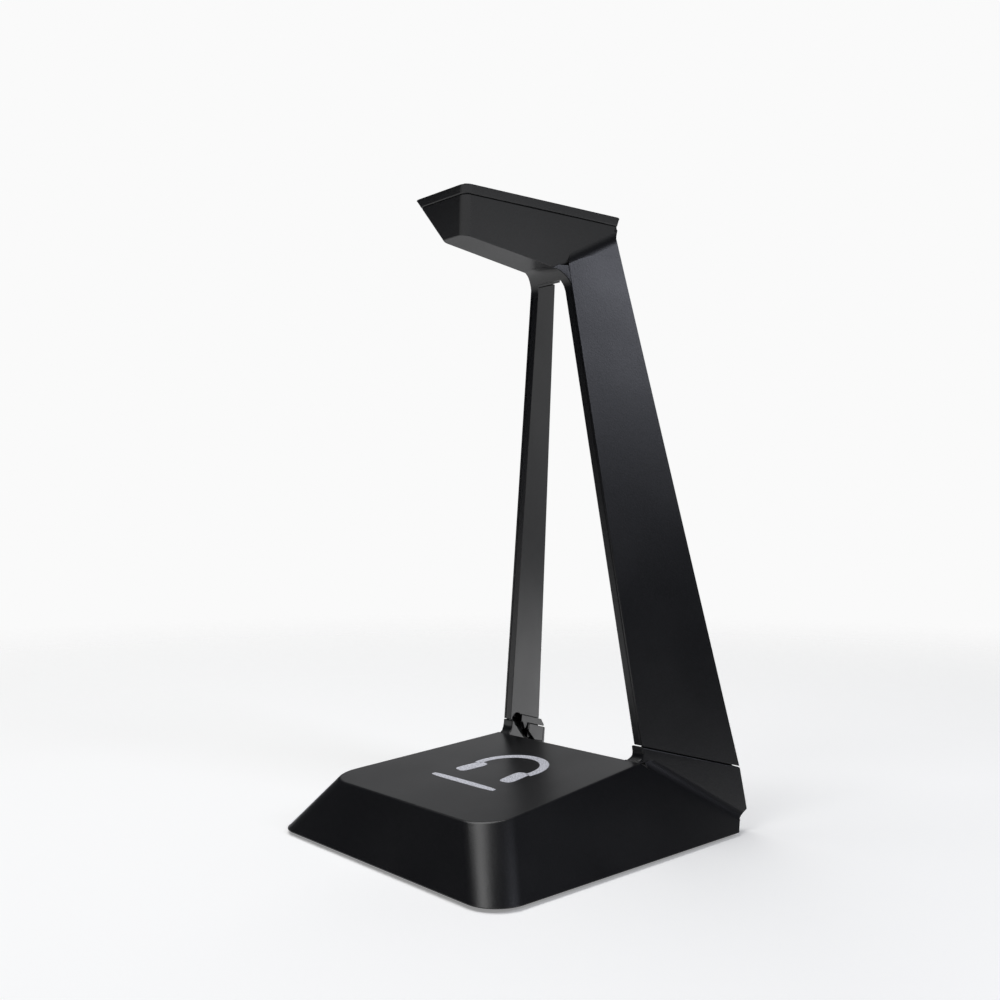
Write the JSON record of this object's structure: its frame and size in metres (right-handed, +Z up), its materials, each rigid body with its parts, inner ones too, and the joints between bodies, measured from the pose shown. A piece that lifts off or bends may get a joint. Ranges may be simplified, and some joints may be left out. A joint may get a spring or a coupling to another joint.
{
  "type": "headphone stand",
  "caption": "Free-standing headphone stand: weighted wedge base, two leaning legs and a forward cradle with a grip pad.",
  "frame": {"origin": "on the floor, in the middle of the stand's width and depth", "axes": "+Z up, the cradle reaches towards -Y, which is the front, and +X is the stand's left as it faces you"},
  "size_m": [0.13, 0.1377, 0.246],
  "materials": {
    "abs_shell": "fine satin texture",
    "abs_inner": "fine satin texture",
    "abs_plate": "fine matte texture",
    "print_ink": "matte pad print",
    "foot_rubber": "matte",
    "pad_silicone": "soft matte",
    "ballast_steel": "mill finish, zinc plated",
    "screw_steel": "zinc plated"
  },
  "bodies": {
    "base": {"base_shell": "abs_shell", "bottom_plate": "abs_plate", "ballast_plate": "ballast_steel", "bottom_plate_screws": "screw_steel", "foot_front_left": "foot_rubber", "foot_front_right": "foot_rubber", "foot_rear_left": "foot_rubber", "foot_rear_right": "foot_rubber", "left_socket_cover": "abs_inner", "right_socket_cover": "abs_inner"},
    "upright": {"upright_frame": "abs_shell", "left_leg_cover": "abs_inner", "right_leg_cover": "abs_inner", "left_foot_clip": "abs_inner", "right_foot_clip": "abs_inner", "cradle_cover": "abs_shell", "cradle_grip_pad": "pad_silicone", "cradle_screws": "screw_steel"}
  },
  "joints": [
    {"name": "upright_lift", "type": "slide", "parent": "base", "child": "upright", "axis": [0, 0, 1], "range_m": [0, 0.03]}
  ]
}
